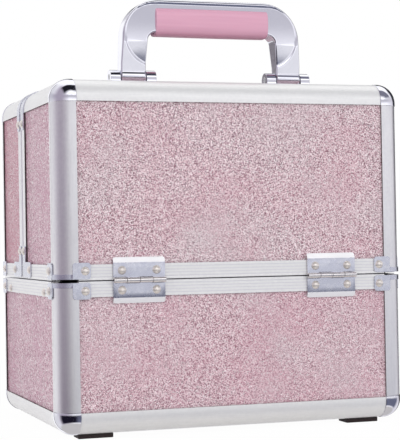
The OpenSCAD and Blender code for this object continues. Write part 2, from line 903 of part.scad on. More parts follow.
module handle_bearings() {
    color(chrome) front_frame() left_and_right() difference() {
        union() {
            translate([-bearing_in - bearing_w, handle_v - bearing_d / 2, seat_z])
                cube([bearing_w, bearing_d, skin_t]);
            for (x = [bearing_in, bearing_in + bearing_w - lobe_w])
                translate([-x - lobe_w, handle_v, seat_z]) rotate([90, 0, 90])
                    linear_extrude(lobe_w) lobe_section();
            spigot_places() translate([0, 0, -board_t]) cylinder(r = spigot_r, h = board_t + eps);
        }
        translate([-handle_w / 2 - leg_play, handle_v - bearing_d, seat_z - eps])
            cube([leg_w + 2 * leg_play, 3 * bearing_d / 2 - bearing_strip, 2 * lobe_h]);
        translate([0, handle_v, axle_z]) rotate([0, -90, 0])
            cylinder(r = handle_pin_r + pin_fit, h = case_w / 2);
    }
}

module lobe_section() {
    lobe_c = skin_t + lobe_h - lobe_r;
    intersection() {
        translate([0, lobe_c]) circle(lobe_r);
        translate([-lobe_r, 0]) square([2 * lobe_r, 2 * lobe_h]);
    }
    translate([-lobe_r, 0]) square([2 * lobe_r, lobe_c]);
}

module handle_pins() {
    color(steel) front_frame() left_and_right()
        translate([-bearing_in - bearing_w, handle_v, axle_z]) rotate([0, 90, 0])
            cylinder(r = handle_pin_r, h = bearing_w);
}

// Outline of the handle seen from the front.
module arch_outline() {
    inner_high = arch_in_top - axle_z;
    outer_high = arch_top - axle_z;
    foot_r = leg_foot_d / 2;
    difference() {
        arch_area(handle_w / 2, foot_r, arch_r, outer_high);
        arch_area(handle_in, 2 * foot_r, arch_in_r, inner_high);
    }
}

// The area inside an arch of the given half width: it goes down below the axle by low, and its
// sides lean inwards to the rounded corners.
module arch_area(half_w, low, corner_r, high) {
    lean_w = half_w - leg_lean;
    corner_z = high - corner_r;
    polygon([[-half_w, -low], [half_w, -low], [half_w, lean_from], [lean_w, corner_z],
        [-lean_w, corner_z], [-half_w, lean_from]]);
    translate([-lean_w + corner_r, 0]) square([2 * (lean_w - corner_r), high]);
    for (s = [-1, 1]) translate([s * (lean_w - corner_r), corner_z]) circle(corner_r);
}

// Side view of the handle: a round foot at the axle, a slim leg that widens upwards, rounded on top.
module arch_side() {
    outer_high = arch_top - axle_z;
    wide_from = arch_in_top - arch_in_r - axle_z;
    top_r = leg_d / 4;
    circle(leg_foot_d / 2);
    polygon([[-leg_waist_d / 2, 0], [leg_waist_d / 2, 0], [leg_d / 2, wide_from],
        [leg_d / 2, outer_high - top_r], [-leg_d / 2, outer_high - top_r], [-leg_d / 2, wide_from]]);
    translate([-leg_d / 2 + top_r, wide_from]) square([leg_d - 2 * top_r, outer_high - wide_from]);
    for (s = [-1, 1]) translate([s * (leg_d / 2 - top_r), outer_high - top_r]) circle(top_r);
}

module handle_arch() {
    color(chrome) front_frame() difference() {
        translate([0, handle_v, axle_z]) intersection() {
            translate([0, leg_d, 0]) rotate([90, 0, 0]) linear_extrude(2 * leg_d) arch_outline();
            translate([-handle_w / 2, 0, 0]) rotate([90, 0, 90]) linear_extrude(handle_w) arch_side();
        }
        for (s = [-1, 1]) translate([-grip_l / 2, handle_v + s * (core_d / 2 + grip_d / 2) - grip_d / 2,
                grip_low - grip_h])
            cube([grip_l, grip_d, 2 * grip_h]);
        translate([-grip_l / 2, handle_v - grip_d / 2, core_low - 2 * grip_h])
            cube([grip_l, grip_d, 2 * grip_h]);
        for (s = [-1, 1]) translate([s * (handle_in + leg_w / 2), handle_v, axle_z]) rotate([0, 90, 0])
            cylinder(r = handle_pin_r + pin_fit, h = leg_w + 1, center = true);
    }
}

// Soft grip: wraps the core from below and leaves the spine bare.
module handle_grip() {
    color(grip_pink) front_frame() difference() {
        translate([-grip_l / 2, handle_v, grip_low]) rotate([90, 0, 90]) linear_extrude(grip_l)
            grip_section();
        translate([-grip_l, handle_v - core_d / 2, core_low])
            cube([2 * grip_l, core_d, grip_h]);
    }
}

module grip_section() {
    half_d = grip_d / 2;
    translate([-half_d, grip_r]) square([grip_d, grip_h - 2 * grip_r]);
    translate([-half_d + grip_r, 0]) square([grip_d - 2 * grip_r, grip_h]);
    for (x = [-1, 1]) for (z = [grip_r, grip_h - grip_r])
        translate([x * (half_d - grip_r), z]) circle(grip_r);
}

// ---- Latches ----

// All heights are above the case, all depths from the front of the case.
split_v = case_d / 2 + split_back;
latch_x = case_w / 2 - latch_in;
latch_v = split_v - latch_back;
plate_front = latch_v - plate_reach;
ear_r = barrel_r + ear_wall;
lock_v = split_v + lap + trim_w + slot_fit;
latch_rivet_x = latch_w / 2 - ear_w - rivet_head_r - 2 * slot_fit;
lock_foot_l = lock_d + 2 * rivet_head_r + 2 * lock_foot_spare;

// Rivets that hold a left latch plate or lock body, on the plane of the top board.
module fitting_rivet_places(front) {
    at_v = front ? plate_front + rivet_end : case_d - lock_v - lock_foot_l + rivet_end;
    for (s = [-1, 1]) translate([-latch_x + s * latch_rivet_x, at_v, top_z]) children();
}

// Plate with two ears, riveted in front of the split.
module latch_plates() {
    color(chrome) front_frame() left_and_right() difference() {
        union() {
            translate([-latch_x - latch_w / 2, plate_front, seat_z]) cube([latch_w, plate_d, fitting_t]);
            for (s = [-1, 1]) translate([-latch_x + s * (latch_w / 2 - ear_w / 2) - ear_w / 2, latch_v, seat_z])
                rotate([90, 0, 90]) linear_extrude(ear_w) {
                    translate([0, skin_t + latch_axle_h]) circle(ear_r);
                    translate([-ear_r, 0]) square([2 * ear_r, skin_t + latch_axle_h]);
                }
        }
        translate([-latch_x, latch_v, top_z + latch_axle_h]) rotate([0, 90, 0])
            cylinder(r = trunnion_r + pin_fit, h = 2 * latch_w, center = true);
        fitting_rivet_places(true) cylinder(r = rivet_r + rivet_fit, h = 4 * skin_t, center = true);
    }
}

// Hasp: a barrel with trunnions, a neck and a flap that reaches over the split.
module latch_hasp() {
    flap_l = latch_back + hasp_reach;
    neck_w = latch_w - 2 * ear_w - 2 * latch_play;
    color(chrome) front_frame() translate([-latch_x, latch_v, top_z]) {
        translate([0, 0, latch_axle_h]) rotate([0, 90, 0]) {
            cylinder(r = barrel_r, h = neck_w, center = true);
            cylinder(r = trunnion_r, h = latch_w, center = true);
        }
        translate([-neck_w / 2, -neck_t / 2, latch_axle_h])
            cube([neck_w, neck_t, hasp_h - latch_axle_h + hasp_t]);
        translate([-neck_w / 2, -neck_t / 2, hasp_h]) cube([neck_w, flap_l + neck_t / 2, hasp_t]);
    }
}

// Lock body behind the hasp's end, with a keyhole in its top, on a riveted foot.
module lock_bodies() {
    color(chrome) front_frame() left_and_right() difference() {
        union() {
            translate([-latch_x - latch_w / 2, lock_v, seat_z]) cube([latch_w, lock_foot_l, fitting_t]);
            translate([-latch_x - latch_w / 2, lock_v, seat_z]) cube([latch_w, lock_d, skin_t + lock_h]);
        }
        translate([-latch_x, lock_v + lock_d / 2, top_z + lock_h - keyhole_d]) {
            cylinder(r = keyhole_r, h = 2 * keyhole_d);
            translate([-keyslot_w / 2, -keyslot_l, 0]) cube([keyslot_w, keyslot_l, 2 * keyhole_d]);
        }
        back_frame_in_front() fitting_rivet_places(false)
            cylinder(r = rivet_r + rivet_fit, h = 4 * skin_t, center = true);
    }
}

// Undoes the front frame, so that a place of the back half can be named in it.
module back_frame_in_front() {
    translate([0, case_d / 2, 0]) back_frame() children();
}

// ---- Trays, arms and links ----

wall_x = case_w / 2 - stack;
link_x = wall_x - plate_gap;
arm_x = link_x - link_t - plate_gap;
tray_x = arm_x - arm_t - plate_gap;

// Sideways run of an arm for each millimetre of its height.
function arm_slope(front) =
    (depth_of(front) - tray_in - (front ? front_stud_in : back_stud_in) - arm_v)
    / (tray_rise + tray_pitch + stud_h + arm_drop);

// Pivots of the outer and the inner arm on the base: distance inwards, height from the opening.
function arm_pivots() = [[strap_rivet, -rivet_rise], [arm_v, -arm_drop]];

// Stud of the inner arm on a tray; level is 0 for the lower tray and 1 for the upper.
function inner_stud(front, level) =
    let (high = tray_rise + level * tray_pitch + stud_h)
    [arm_v + (high + arm_drop) * arm_slope(front), high];

function outer_stud(front, level) =
    inner_stud(front, level) + arm_pivots()[0] - arm_pivots()[1];

// Flat bar from the origin along x, with round ends and holes at the given distances.
module bar(run, r_from, r_to, holes, hole_rs) {
    half = min(r_from, r_to);
    difference() {
        union() {
            circle(r_from);
            translate([run, 0]) circle(r_to);
            translate([0, -half]) square([run, 2 * half]);
        }
        for (k = [0 : len(holes) - 1]) translate([holes[k], 0]) circle(hole_rs[k]);
    }
}

// Turns a drawing of the side plane into a plate whose outer face lies at -x = face, with the
// drawing's origin at from and its x axis towards to.
module side_plate(face, thick, from, to) {
    translate([-face, from[0], split_z + from[1]]) rotate([90, 0, 90])
        rotate(atan2(to[1] - from[1], to[0] - from[0])) linear_extrude(thick) children();
}

module arms(front, which) {
    pivot = arm_pivots()[which];
    low = which == 0 ? outer_stud(front, 0) : inner_stud(front, 0);
    high = which == 0 ? outer_stud(front, 1) : inner_stud(front, 1);
    holes = [0, norm(low - pivot), norm(high - pivot)];
    color(steel) half_frame(front) left_and_right() side_plate(arm_x, arm_t, pivot, high)
        bar(holes[2], arm_w / 2, arm_w / 2, holes, [for (h = holes) stud_r + pin_fit]);
}

// Rivets that the arms turn on: domed outside, with a flat head inside.
module arm_rivets() {
    color(chrome) front_and_back() left_and_right() for (k = [0, 1]) {
        p = arm_pivots()[k];
        seat = k == 0 ? strap_t : 0;
        translate([-case_w / 2, p[0], split_z + p[1]]) rotate([0, 0, -90]) {
            translate([0, -seat, 0]) dome();
            translate([0, -seat, 0]) rotate([-90, 0, 0])
                cylinder(r = stud_r, h = seat + case_w / 2 - arm_x + arm_t + stud_head_t + plate_gap / 2);
            translate([0, case_w / 2 - arm_x + arm_t + plate_gap / 2, 0]) rotate([-90, 0, 0])
                cylinder(r = rivet_head_r, h = stud_head_t);
        }
    }
}

module dome() {
    ball_r = (rivet_head_r * rivet_head_r + rivet_head_h * rivet_head_h) / (2 * rivet_head_h);
    rotate([90, 0, 0]) intersection() {
        translate([0, 0, rivet_head_h - ball_r]) sphere(ball_r);
        cylinder(r = rivet_head_r, h = rivet_head_h);
    }
}

// Pull link from the half's side to the inner arm. Its far hole is wide and set aside from the
// stud, which wanders in it: along the link and across it.
function link_shift(front) = front ? [0, -front_eye_drop] : [-back_eye_short, -back_eye_drop];

module links(front) {
    from = [link_v, link_w_of(front)];
    to = inner_stud(front, 0);
    turn = atan2(to[1] - from[1], to[0] - from[0]);
    shift = link_shift(front);
    eye = to + [shift[0] * cos(turn) - shift[1] * sin(turn), shift[0] * sin(turn) + shift[1] * cos(turn)];
    run = norm(eye - from);
    color(steel) half_frame(front) left_and_right() side_plate(link_x, link_t, from, eye)
        bar(run, link_bar_w / 2, link_hole_r + link_rim, [0, run], [stud_r + pin_fit, link_hole_r]);
}

module rounded_rect(w, d, r) {
    translate([r, 0]) square([w - 2 * r, d]);
    translate([0, r]) square([w, d - 2 * r]);
    for (x = [r, w - r]) for (y = [r, d - r]) translate([x, y]) circle(r);
}

// Moulded tray with compartments, and steel studs at both ends.
module tray(front, level) {
    tray_w = 2 * tray_x;
    tray_d = depth_of(front) - tray_out - tray_in;
    floor_z = split_z + tray_rise + level * tray_pitch;
    cell_w = (tray_w - (tray_cells + 1) * tray_wall) / tray_cells;
    half_frame(front) {
        color(tray_black) difference() {
            translate([-tray_x, tray_out, floor_z]) linear_extrude(tray_h)
                rounded_rect(tray_w, tray_d, tray_r);
            for (k = [0 : tray_cells - 1])
                translate([-tray_x + tray_wall + k * (cell_w + tray_wall), tray_out + tray_wall,
                        floor_z + tray_wall])
                    linear_extrude(tray_h) rounded_rect(cell_w, tray_d - 2 * tray_wall, tray_r - tray_wall);
        }
        color(steel) left_and_right() for (k = [0, 1]) {
            p = k == 0 ? outer_stud(front, level) : inner_stud(front, level);
            long = k == 1 && level == 0;
            reach = long ? link_x : arm_x;
            translate([-reach, p[0], split_z + p[1]]) rotate([0, 90, 0])
                cylinder(r = stud_r, h = reach - tray_x + eps);
        }
    }
}

// ---- The case ----

base_floor();
base_front_panel();
base_back_panel();
base_side_panels();
base_columns();
base_bottom_edges();
base_corner_caps();
base_rim_strips();
base_straps();
base_rivets();
base_lining();
feet();
hinge_base_leaves();
hinge_pins();
arm_rivets();
half_panel(true);  // front_half_panel
half_sides(true);  // front_half_sides
half_top(true);  // front_half_top
half_columns(true);  // front_half_columns
half_edges(true);  // front_half_edges
half_caps(true);  // front_half_caps
half_rims(true);  // front_half_rims
half_straps(true);  // front_half_straps
half_trims(true);  // front_half_trims
half_brackets(true);  // front_half_brackets
half_rivets(true);  // front_half_rivets
half_lining(true);  // front_half_lining
half_leaves(true);  // front_half_leaves
half_panel(false);  // back_half_panel
half_sides(false);  // back_half_sides
half_top(false);  // back_half_top
half_columns(false);  // back_half_columns
half_edges(false);  // back_half_edges
half_caps(false);  // back_half_caps
half_rims(false);  // back_half_rims
half_straps(false);  // back_half_straps
half_trims(false);  // back_half_trims
half_brackets(false);  // back_half_brackets
half_rivets(false);  // back_half_rivets
half_lining(false);  // back_half_lining
half_leaves(false);  // back_half_leaves
handle_bearings();
handle_pins();
handle_arch();
handle_grip();
latch_plates();
latch_hasp();  // latch_hasp_left
mirror([1, 0, 0]) latch_hasp();  // latch_hasp_right
lock_bodies();
tray(true, 0);  // front_lower_tray
tray(true, 1);  // front_upper_tray
tray(false, 0);  // back_lower_tray
tray(false, 1);  // back_upper_tray
arms(true, 0);  // front_outer_arms
arms(true, 1);  // front_inner_arms
arms(false, 0);  // back_outer_arms
arms(false, 1);  // back_inner_arms
links(true);  // front_links
links(false);  // back_links
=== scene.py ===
"""Makeup storage case with handle: aluminium profiles, glitter boards, nickel fittings, four swinging trays.

Metres, +Z up, front towards -Y, origin on the ground under the middle of the closed case.
"""

import math

import bmesh
import bpy
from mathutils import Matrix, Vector


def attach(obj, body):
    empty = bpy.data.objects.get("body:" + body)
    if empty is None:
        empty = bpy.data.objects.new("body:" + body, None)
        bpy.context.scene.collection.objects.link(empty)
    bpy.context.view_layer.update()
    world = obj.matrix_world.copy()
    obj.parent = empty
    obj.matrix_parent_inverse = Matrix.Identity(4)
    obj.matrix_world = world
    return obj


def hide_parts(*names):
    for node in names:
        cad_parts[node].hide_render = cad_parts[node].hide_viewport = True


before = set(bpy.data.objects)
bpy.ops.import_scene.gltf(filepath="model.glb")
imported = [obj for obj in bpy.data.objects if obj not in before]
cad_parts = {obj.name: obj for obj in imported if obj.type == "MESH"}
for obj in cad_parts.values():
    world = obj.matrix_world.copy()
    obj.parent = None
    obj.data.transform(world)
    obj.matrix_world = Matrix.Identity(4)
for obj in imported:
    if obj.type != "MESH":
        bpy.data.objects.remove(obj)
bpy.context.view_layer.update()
scene = bpy.context.scene

MM = 0.001

# From the part: the height where the case opens, and the thickness of its sheet-metal fittings.
SPLIT_Z = 111.5 * MM
STRAP_T = 0.8 * MM

# A profile's skin: its thickness, the least length of its end against a board, and how far out the profiles
# of the left and right side start.
SKIN_T = 1.2 * MM
SKIN_LENGTH = 40 * MM
END_PROFILE_X = 116.8 * MM

# A hinge leaf: where its folded lip starts, and its knuckles' radius and least distance from the middle.
LIP_FROM = 12.3 * MM
KNUCKLE_R = 2.2 * MM
KNUCKLE_Y = 100.9 * MM

# The ribbed rims: the first groove's distance from the opening, the pitch, and half a groove's width at its
# bottom and at its top.
RIB_START = 0.4 * MM
RIB_PITCH = 2.2 * MM
RIB_GROOVE, RIB_SLOPE = 0.18 * MM, 0.5 * MM

# How near is the same: for welding points, and for measuring an edge or a face.
WELD = 0.002 * MM
CLOSE = 0.02 * MM

# In degrees: how sharp an edge is that gets softened, on a solid piece, on sheet metal and at a sheet's
# corners, and how little faces turn that are joined as flat.
SOLID_EDGE, SHEET_EDGE, SHEET_CORNER = 35, 50, 60
FLAT = 0.5

# The handle, in mm: its plane, the legs' faces, the axle, the feet's radius, how far and from what height the
# legs lean inwards, and the bow's outer and inner corner as (x, z, radius).
HANDLE_Y = -48
LEG_OUT, LEG_IN = 71, 52
AXLE_Z = 260.3
FOOT_R = 6.5
LEAN, LEAN_FROM = 1.2, 270.3
OUT_CORNER = (41.3, 289.7, 28.5)
IN_CORNER = (43.8, 286.6, 7)

# The bow's depth at its top and at its waist, and the rounding of its inner and outer edges: the outer one
# grows over a rise, and neither is more than a share of the depth.
BOW_DEPTH, WAIST_DEPTH = 15, 10
NEAR_R = 1.2
FAR_R, FAR_R_GROWTH = 1.3, 1.1
FAR_R_FROM, FAR_R_RISE = 285, 25
MOST_ROUNDING = 0.4

# How finely the bow is divided: round a foot and a corner in degrees, along a leg and across its face.
FOOT_TURNS = (12, 30, 50, 70, 90)
CORNER_STEP = 3
LEG_STEPS, FACE_STEPS = 32, 30

# The bulge in each corner of the bow's face: (x, z, radius), the width of the step at its edge, how far the
# face lies back at its middle and how much more at its edge, and how far above the axle it may start.
BULGE = (44.5, 292, 24)
BULGE_STEP, BULGE_BACK, BULGE_RISE = 1.2, 0.1, 0.62
BULGE_FROM = 3

# The grip, in mm: its half length, bottom, top and depth, the power that squares its section, its steps, and
# how its last rings are set in and narrowed.
GRIP_HALF = 44.8
GRIP_LOW, GRIP_TOP = 291.2, 312.8
GRIP_DEPTH = 20
GRIP_POWER = 0.62
GRIP_AROUND, GRIP_ALONG = 56, 40
GRIP_END_INSETS = (0.4, 0.7, 1.3)
GRIP_END_SHARES = (0.9, 0.965, 0.985)

# The photo's camera: focal length and picture height in picture elements, place, and turn in degrees.
FOCAL_PIXELS, PHOTO_PIXELS = 1459.97, 440
CAMERA_PLACE = (-0.36058, -1.08961, 0.13883)
CAMERA_TURN = (90.782, 0.968, -18.593)
SENSOR_WIDTH = 36

# The room that only shiny metal sees: the light of each part, and where some parts lie, in degrees from +X.
ROOM = {"front": (1.65, 1.65, 1.66), "back": (0.84, 0.84, 0.86), "skirting": (0.93, 0.93, 0.95),
        "dado": (0.64, 0.63, 0.68), "left wall": (0.45, 0.4, 0.48), "right wall": (0.8, 0.78, 0.83),
        "window": (1.15, 1.15, 1.15), "window post": (0.2, 0.18, 0.2), "doorway": (0.04, 0.04, 0.05),
        "floor": (0.62, 0.6, 0.58), "gap": (0.16, 0.17, 0.24), "gap's left end": (0.012, 0.01, 0.02),
        "screen": (0.015, 0.015, 0.02), "screen's right end": (0.22, 0.22, 0.28), "lid": (1.25, 1.25, 1.25)}
HEADINGS = {"left wall": -156, "right wall": 15, "window": 103, "window post": 113}
DOORWAY_AIM = (0.67, 0.69, 0.27)
PLAIN_LIGHT = 0.72


# ---- Colours ----

def srgb(red, green, blue):
    """A colour given as it looks on a screen, 0 to 255, as the linear colour that the shader takes."""
    def linear(value):
        value /= 255
        return value / 12.92 if value <= 0.04045 else ((value + 0.055) / 1.055) ** 2.4
    return (linear(red), linear(green), linear(blue), 1)


# ---- Node helpers ----

def new_group(name, inputs, outputs):
    """An empty shader node group with the given sockets: (name, socket type, default)."""
    group = bpy.data.node_groups.new(name, "ShaderNodeTree")
    for label, kind, default in inputs:
        socket = group.interface.new_socket(label, in_out="INPUT", socket_type=kind)
        if default is not None:
            socket.default_value = default
    for label, kind in outputs:
        group.interface.new_socket(label, in_out="OUTPUT", socket_type=kind)
    start = group.nodes.new("NodeGroupInput")
    end = group.nodes.new("NodeGroupOutput")
    return group, start, end


def feed(tree, value, socket):
    """Links an output to a socket, or sets the socket's own value."""
    if isinstance(value, bpy.types.NodeSocket):
        tree.links.new(value, socket)
    else:
        socket.default_value = value


def math_node(tree, operation, first, second=None, clamp=False):
    """A Math node; each operand is a number or an output socket."""
    node = tree.nodes.new("ShaderNodeMath")
    node.operation = operation
    node.use_clamp = clamp
    for slot, value in enumerate((first, second)):
        if value is not None:
            feed(tree, value, node.inputs[slot])
    return node.outputs[0]


def mix_colours(tree, factor, first, second):
    node = tree.nodes.new("ShaderNodeMix")
    node.data_type = "RGBA"
    feed(tree, factor, node.inputs["Factor"])
    feed(tree, first, node.inputs[6])
    feed(tree, second, node.inputs[7])
    return node.outputs[2]


def mix_values(tree, factor, first, second):
    node = tree.nodes.new("ShaderNodeMix")
    node.data_type = "FLOAT"
    feed(tree, factor, node.inputs["Factor"])
    feed(tree, first, node.inputs[2])
    feed(tree, second, node.inputs[3])
    return node.outputs[0]


def scaled(tree, vector, scale):
    """The vector with each axis multiplied, for a pattern drawn out along an axis."""
    node = tree.nodes.new("ShaderNodeVectorMath")
    node.operation = "MULTIPLY"
    feed(tree, vector, node.inputs[0])
    node.inputs[1].default_value = scale
    return node.outputs[0]


def noise(tree, vector, scale, detail, roughness=0.5):
    node = tree.nodes.new("ShaderNodeTexNoise")
    feed(tree, vector, node.inputs["Vector"])
    node.inputs["Scale"].default_value = scale
    node.inputs["Detail"].default_value = detail
    node.inputs["Roughness"].default_value = roughness
    return node.outputs["Fac"]


def ranged(tree, value, low, high, to_low=0.0, to_high=1.0):
    """Map Range, clamped."""
    node = tree.nodes.new("ShaderNodeMapRange")
    feed(tree, value, node.inputs["Value"])
    for label, number in (("From Min", low), ("From Max", high), ("To Min", to_low), ("To Max", to_high)):
        node.inputs[label].default_value = number
    return node.outputs["Result"]


# ---- Shared effects ----

def make_smudges():
    """Soft handling marks: a slow value for roughness, from 0 to 1."""
    group, start, end = new_group("handling_smudges",
        [("Vector", "NodeSocketVector", None), ("Scale", "NodeSocketFloat", 30.0)],
        [("Value", "NodeSocketFloat")])
    broad = group.nodes.new("ShaderNodeTexNoise")
    broad.inputs["Detail"].default_value = 4
    broad.inputs["Roughness"].default_value = 0.6
    broad.inputs["Distortion"].default_value = 0.4
    group.links.new(start.outputs["Vector"], broad.inputs["Vector"])
    group.links.new(start.outputs["Scale"], broad.inputs["Scale"])
    group.links.new(ranged(group, broad.outputs["Fac"], 0.35, 0.7), end.inputs["Value"])
    return group


def make_drawn_lines():
    """Fine lines drawn along an extruded profile. Sides run along y, fronts along x, uprights along z."""
    group, start, end = new_group("drawn_lines",
        [("Vector", "NodeSocketVector", None), ("Upright", "NodeSocketFloat", 0.0),
         ("Density", "NodeSocketFloat", 2600.0)],
        [("Value", "NodeSocketFloat")])
    parts = group.nodes.new("ShaderNodeSeparateXYZ")
    group.links.new(start.outputs["Vector"], parts.inputs[0])
    side = math_node(group, "GREATER_THAN", math_node(group, "ABSOLUTE", parts.outputs["X"]), END_PROFILE_X)
    drawn = 0.02  # the share of the noise's pace that is left along a line
    values = []
    for scale in ((drawn, 1, 1), (1, drawn, 1), (1, 1, drawn)):
        lines = group.nodes.new("ShaderNodeTexNoise")
        lines.inputs["Detail"].default_value = 2
        group.links.new(scaled(group, start.outputs["Vector"], scale), lines.inputs["Vector"])
        group.links.new(start.outputs["Density"], lines.inputs["Scale"])
        values.append(lines.outputs["Fac"])
    across, along, upward = values
    flat = mix_values(group, side, across, along)
    group.links.new(mix_values(group, start.outputs["Upright"], flat, upward), end.inputs["Value"])
    return group


def make_edge_wear():
    """A mask that is 1 on convex edges, broken up by noise."""
    group, start, end = new_group("edge_wear",
        [("Vector", "NodeSocketVector", None), ("Amount", "NodeSocketFloat", 0.5)],
        [("Mask", "NodeSocketFloat")])
    geometry = group.nodes.new("ShaderNodeNewGeometry")
    edge = ranged(group, geometry.outputs["Pointiness"], 0.51, 0.58)
    chips = group.nodes.new("ShaderNodeTexNoise")
    chips.inputs["Scale"].default_value = 420
    chips.inputs["Detail"].default_value = 3
    group.links.new(start.outputs["Vector"], chips.inputs["Vector"])
    broken = math_node(group, "MULTIPLY", edge, ranged(group, chips.outputs["Fac"], 0.42, 0.62))
    group.links.new(math_node(group, "MULTIPLY", broken, start.outputs["Amount"]), end.inputs["Mask"])
    return group


def make_flakes():
    """Glitter: cells with a random tone each, and a normal tilted by a random amount each."""
    group, start, end = new_group("glitter_flakes",
        [("Vector", "NodeSocketVector", None), ("Density", "NodeSocketFloat", 900.0),
         ("Tilt", "NodeSocketFloat", 0.5)],
        [("Tone", "NodeSocketFloat"), ("Spark", "NodeSocketFloat"), ("Normal", "NodeSocketVector")])
    cells = group.nodes.new("ShaderNodeTexVoronoi")
    group.links.new(start.outputs["Vector"], cells.inputs["Vector"])
    group.links.new(start.outputs["Density"], cells.inputs["Scale"])
    parts = group.nodes.new("ShaderNodeSeparateXYZ")
    group.links.new(cells.outputs["Color"], parts.inputs[0])
    group.links.new(parts.outputs["X"], end.inputs["Tone"])
    group.links.new(parts.outputs["Y"], end.inputs["Spark"])
    centred = group.nodes.new("ShaderNodeVectorMath")
    centred.operation = "SUBTRACT"
    group.links.new(cells.outputs["Color"], centred.inputs[0])
    centred.inputs[1].default_value = (0.5, 0.5, 0.5)
    tilted = group.nodes.new("ShaderNodeVectorMath")
    tilted.operation = "SCALE"
    group.links.new(centred.outputs[0], tilted.inputs[0])
    group.links.new(start.outputs["Tilt"], tilted.inputs["Scale"])
    geometry = group.nodes.new("ShaderNodeNewGeometry")
    summed = group.nodes.new("ShaderNodeVectorMath")
    summed.operation = "ADD"
    group.links.new(geometry.outputs["Normal"], summed.inputs[0])
    group.links.new(tilted.outputs[0], summed.inputs[1])
    unit = group.nodes.new("ShaderNodeVectorMath")
    unit.operation = "NORMALIZE"
    group.links.new(summed.outputs[0], unit.inputs[0])
    group.links.new(unit.outputs[0], end.inputs["Normal"])
    return group


SMUDGES = make_smudges()
DRAWN_LINES = make_drawn_lines()
EDGE_WEAR = make_edge_wear()
FLAKES = make_flakes()


# ---- Materials ----

def new_material(name, colour, metallic=0.0, roughness=0.5):
    """A material with its Principled shader and Object coordinates: (material, tree, shader, vector)."""
    material = bpy.data.materials.new(name)
    material.use_nodes = True
    tree = material.node_tree
    shader = tree.nodes["Principled BSDF"]
    shader.inputs["Base Color"].default_value = colour
    shader.inputs["Metallic"].default_value = metallic
    shader.inputs["Roughness"].default_value = roughness
    vector = tree.nodes.new("ShaderNodeTexCoord").outputs["Object"]
    return material, tree, shader, vector


def use_group(tree, group, vector, **values):
    node = tree.nodes.new("ShaderNodeGroup")
    node.node_tree = group
    tree.links.new(vector, node.inputs["Vector"])
    for label, value in values.items():
        node.inputs[label].default_value = value
    return node.outputs


def add_bump(tree, shader, height, distance, strength):
    node = tree.nodes.new("ShaderNodeBump")
    node.inputs["Distance"].default_value = distance
    node.inputs["Strength"].default_value = strength
    feed(tree, height, node.inputs["Height"])
    tree.links.new(node.outputs["Normal"], shader.inputs["Normal"])


def aluminium_material(name, upright, ribbed=False):
    """Anodised profile with the fine lines of the extrusion; a rim has painted shade in its grooves as well.

    The level profiles are paler and more matt than the columns."""
    if upright:
        colour, metallic, smooth, matt = srgb(246, 245, 247), 1.0, 0.31, 0.4
    else:
        colour, metallic, smooth, matt = srgb(243, 243, 243), 0.5, 0.4, 0.5
    material, tree, shader, vector = new_material(name, colour, metallic=metallic, roughness=smooth)
    lines = use_group(tree, DRAWN_LINES, vector, Upright=float(upright))["Value"]
    smudge = use_group(tree, SMUDGES, vector, Scale=22.0)["Value"]
    wear = use_group(tree, EDGE_WEAR, vector, Amount=0.5)["Mask"]
    toned = mix_colours(tree, ranged(tree, lines, 0.3, 0.7, 0.0, 0.35), colour, srgb(226, 225, 229))
    if ribbed:
        parts = tree.nodes.new("ShaderNodeSeparateXYZ")
        tree.links.new(vector, parts.inputs[0])
        height = math_node(tree, "ABSOLUTE", math_node(tree, "SUBTRACT", parts.outputs["Z"], SPLIT_Z))
        ribs = math_node(tree, "SUBTRACT", height, RIB_START)
        from_groove = math_node(tree, "PINGPONG", ribs, RIB_PITCH / 2)
        on_rib = ranged(tree, from_groove, RIB_GROOVE, RIB_SLOPE)
        # The grooves are painted a darker, bluer tone: painted shade in the grooves.
        toned = mix_colours(tree, on_rib, srgb(232, 231, 236), toned)
    feed(tree, mix_colours(tree, wear, toned, srgb(250, 250, 250)), shader.inputs["Base Color"])
    rough = math_node(tree, "ADD", ranged(tree, lines, 0.3, 0.7, smooth, matt),
                      math_node(tree, "MULTIPLY", smudge, 0.05))
    feed(tree, rough, shader.inputs["Roughness"])
    add_bump(tree, shader, lines, 0.02 * MM, 0.35)
    return material


def plated_material(name, colour, shadow, rough_low, rough_high, wear_amount=0.4, metallic=1.0):
    """Nickel or zinc plate: nearly a mirror, with handling smudges and bright worn edges."""
    material, tree, shader, vector = new_material(name, colour, metallic=metallic, roughness=rough_low)
    smudge = use_group(tree, SMUDGES, vector, Scale=45.0)["Value"]
    wear = use_group(tree, EDGE_WEAR, vector, Amount=wear_amount)["Mask"]
    toned = mix_colours(tree, math_node(tree, "MULTIPLY", smudge, 0.5), colour, shadow)
    feed(tree, mix_colours(tree, wear, toned, srgb(252, 252, 252)), shader.inputs["Base Color"])
    fine = noise(tree, vector, 900, 2)
    rough = math_node(tree, "ADD", ranged(tree, smudge, 0, 1, rough_low, rough_high),
                      ranged(tree, fine, 0.3, 0.7, -0.01, 0.02), clamp=True)
    feed(tree, rough, shader.inputs["Roughness"])
    add_bump(tree, shader, noise(tree, vector, 260, 3), 0.02 * MM, 0.25)
    return material


